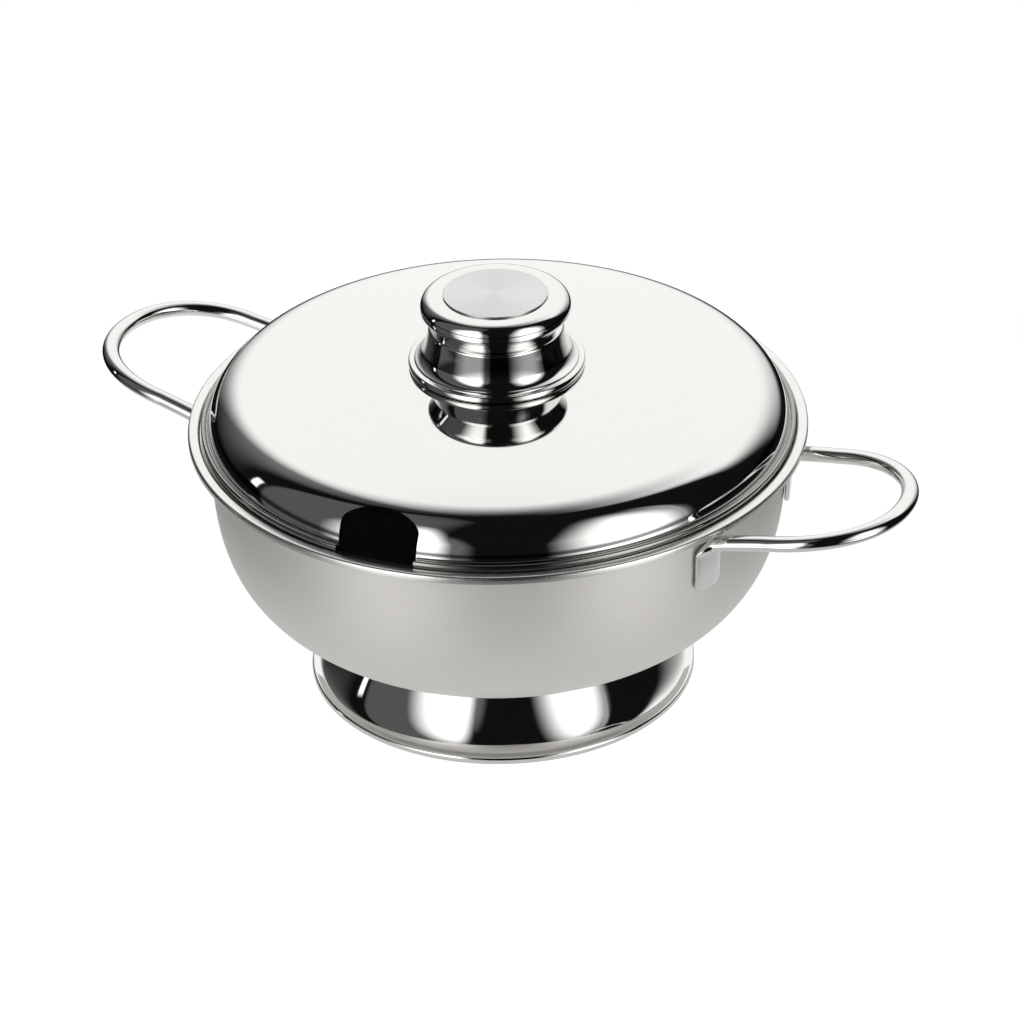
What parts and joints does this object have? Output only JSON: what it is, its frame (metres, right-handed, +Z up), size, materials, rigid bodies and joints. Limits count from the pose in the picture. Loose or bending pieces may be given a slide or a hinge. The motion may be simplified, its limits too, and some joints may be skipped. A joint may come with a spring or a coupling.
{
  "type": "soup tureen",
  "caption": "Covered stainless steel soup tureen: satin footed bowl with wire loop handles, and a domed lift-off lid with a ladle notch and a hollow turned knob.",
  "frame": {"origin": "on the table, under the centre of the foot", "axes": "+Z up; +X through the two handles; the ladle notch faces -Y"},
  "size_m": [0.3652, 0.254, 0.175],
  "materials": {
    "satin_steel": "satin stainless steel, brushed around the bowl",
    "polished_steel": "mirror-polished stainless steel",
    "satin_cap_steel": "fine satin stainless steel disc",
    "plain_steel": "plain stainless steel"
  },
  "bodies": {
    "tureen": {"bowl": "satin_steel", "foot": "polished_steel", "handle_left": "polished_steel", "handle_right": "polished_steel"},
    "lid_and_knob": {"lid": "polished_steel", "knob_shell": "polished_steel", "knob_cap": "satin_cap_steel", "knob_post": "plain_steel", "knob_washer": "plain_steel", "knob_screw": "plain_steel"}
  },
  "joints": [
    {"name": "lid_lift", "type": "slide", "parent": "tureen", "child": "lid_and_knob", "axis": [0, 0, 1], "range_m": [0, 0.12]}
  ]
}
